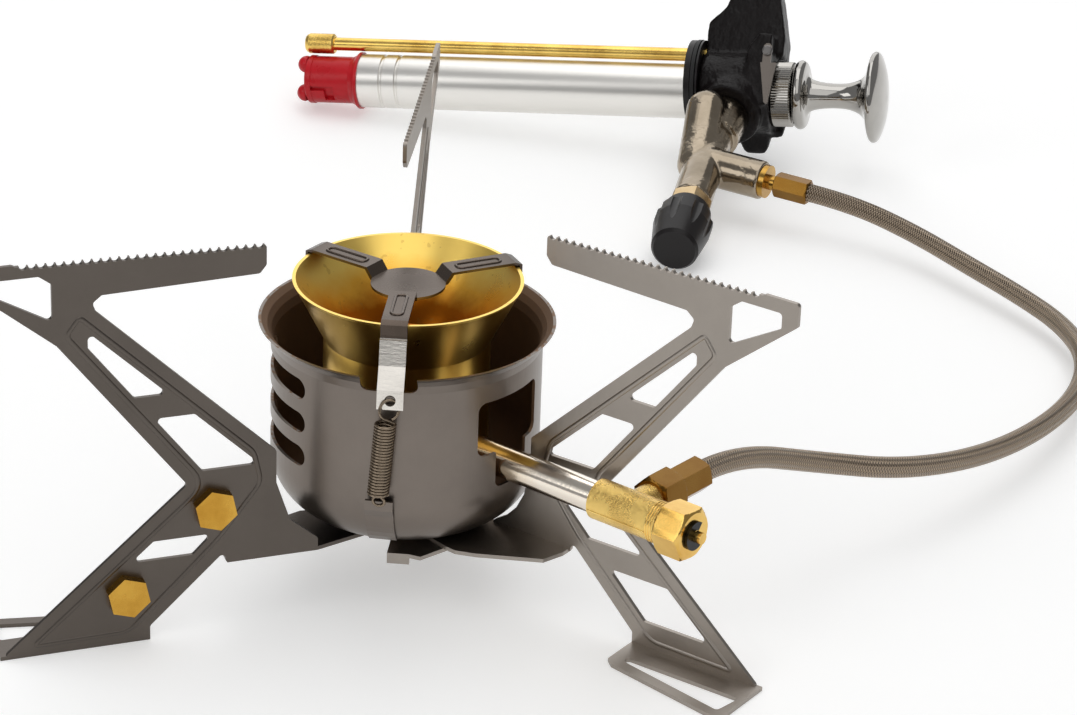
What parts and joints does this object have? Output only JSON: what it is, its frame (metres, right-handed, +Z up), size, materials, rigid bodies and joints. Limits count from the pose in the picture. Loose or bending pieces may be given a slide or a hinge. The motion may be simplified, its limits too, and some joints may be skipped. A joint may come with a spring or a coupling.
{
  "type": "pressure camping stove",
  "caption": "Folding camping pressure stove: brass burner in a windowed steel cup, toothed folding legs, braided fuel hose and a hand pump with control valve for a fuel bottle.",
  "frame": {"origin": "on the ground, on the burner's axis", "axes": "+Z up along the burner's axis; +Y from the burner towards the pump, level"},
  "size_m": [0.348, 0.47, 0.12],
  "materials": {
    "satin_steel": "satin",
    "leg_steel": "satin",
    "plate_steel": "satin",
    "spring_steel": "satin",
    "burner_brass": "heat-tinted",
    "cast_brass": "rough cast",
    "dark_brass": "dull",
    "jet_brass": "satin",
    "tube_brass": "polished",
    "tube_steel": "heat-tinted",
    "black_steel": "satin",
    "rivet_steel": "satin",
    "wick": "matte",
    "pump_alloy": "satin",
    "plated": "bright",
    "red_plastic": "gloss",
    "black_plastic": "satin",
    "seal_rubber": "matte",
    "leather": "matte",
    "braid": "braided"
  },
  "bodies": {
    "stove": {"burner_housing": "satin_steel", "spring_lug": "satin_steel", "leg_right": "leg_steel", "flame_plate": "plate_steel", "spring_strap": "plate_steel", "nut_stop_plate": "plate_steel", "plate_spring": "spring_steel", "burner_bell": "burner_brass", "jet_block": "cast_brass", "block_nut": "cast_brass", "block_pin": "cast_brass", "jet": "cast_brass", "elbow_nut": "dark_brass", "stove_ferrule": "dark_brass", "pump_ferrule": "dark_brass", "hose_nipple": "jet_brass", "port_ring": "jet_brass", "pickup_tube": "tube_brass", "pickup_filter": "tube_brass", "mixing_tube": "tube_steel", "vaporiser_tube": "tube_steel", "e_clip": "black_steel", "stop_plate_screw": "rivet_steel", "hub_rivet": "rivet_steel", "hub_washer": "rivet_steel", "priming_pad": "wick", "pump_tube": "pump_alloy", "valve_body": "plated", "gland_nut": "plated", "knurled_nut": "plated", "foot_cap": "red_plastic", "pump_body": "black_plastic", "bottle_collar": "black_plastic", "neck_seal": "seal_rubber", "spindle_seal": "seal_rubber", "fuel_hose": "braid"},
    "leg_left_body": {"leg_left": "leg_steel", "spare_jet_upper": "jet_brass", "spare_jet_lower": "jet_brass"},
    "leg_back_body": {"leg_back": "leg_steel"},
    "plunger_body": {"plunger_knob": "plated", "plunger_rod": "plated", "piston": "rivet_steel", "cup_leather": "leather", "piston_screw": "rivet_steel"},
    "valve_knob_body": {"valve_knob": "black_plastic", "valve_spindle": "rivet_steel"},
    "check_valve_body": {"check_valve_disc": "seal_rubber"}
  },
  "joints": [
    {"name": "leg_left_fold", "type": "hinge", "parent": "stove", "child": "leg_left_body", "pos_m": [0, 0, 0.0218], "axis": [0, 0, 1], "range_deg": [0, 70]},
    {"name": "leg_back_fold", "type": "hinge", "parent": "stove", "child": "leg_back_body", "pos_m": [0, 0, 0.0204], "axis": [0, 0, 1], "range_deg": [-92, 0]},
    {"name": "plunger_slide", "type": "slide", "parent": "stove", "child": "plunger_body", "axis": [0.9551, -0.282, 0.0906], "range_m": [0, 0.105]},
    {"name": "valve_turn", "type": "hinge", "parent": "stove", "child": "valve_knob_body", "pos_m": [0.12111, 0.31963, 0.02404], "axis": [-0.2435, -0.9594, -0.142], "range_deg": [0, 1080]},
    {"name": "check_valve_lift", "type": "slide", "parent": "stove", "child": "check_valve_body", "axis": [0.9551, -0.282, 0.0906], "range_m": [0, 0.001]}
  ]
}
